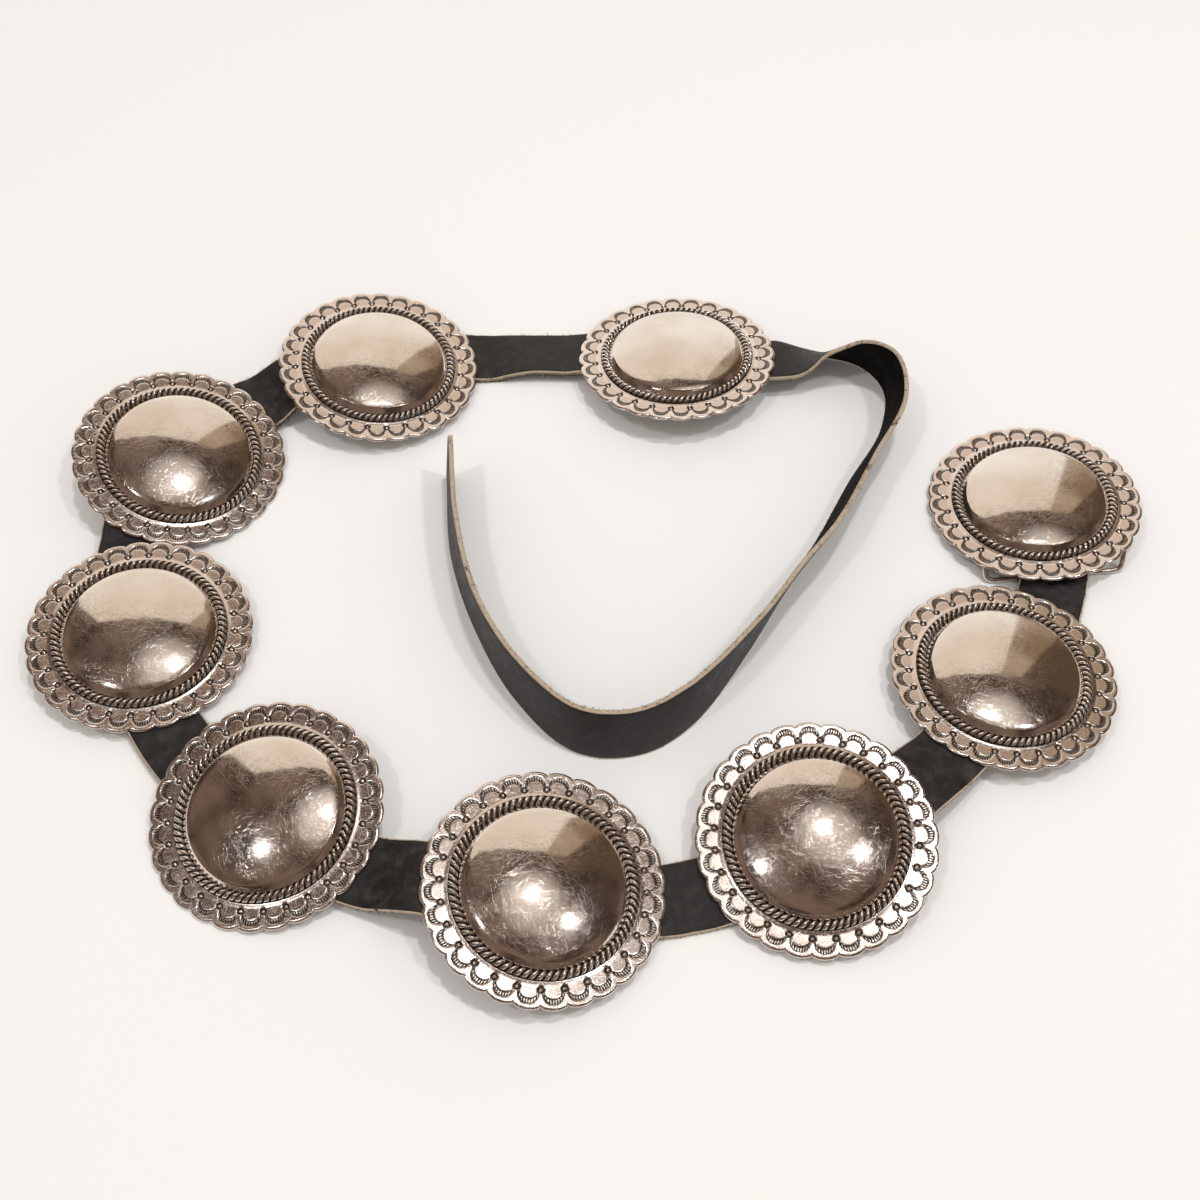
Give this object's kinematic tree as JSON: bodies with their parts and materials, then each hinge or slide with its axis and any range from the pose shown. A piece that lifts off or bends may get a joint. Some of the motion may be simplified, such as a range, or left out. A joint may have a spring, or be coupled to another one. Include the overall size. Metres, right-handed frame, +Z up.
{
  "type": "concho belt",
  "caption": "Leather strap run through the loops of round scalloped silver conchos with roped rings and plain domes, laid in an open curve, its free end on edge and looped back inside.",
  "frame": {"origin": "on the surface that the belt lies on, under the middle of its bounding box", "axes": "+Z up from the surface, +X along the longest extent towards the buckle side, +Y away from the viewer of the picture"},
  "size_m": [0.4568, 0.3482, 0.0276],
  "materials": {
    "silver": "polished sterling silver, worn, with blackened recesses",
    "strap_leather": "black split leather with raw tan edges"
  },
  "bodies": {
    "root": {"strap": "strap_leather", "buckle_concho": "silver", "concho_1": "silver", "concho_2": "silver", "concho_3": "silver", "concho_4": "silver", "concho_5": "silver", "concho_6": "silver", "concho_7": "silver", "concho_8": "silver"}
  },
  "joints": []
}
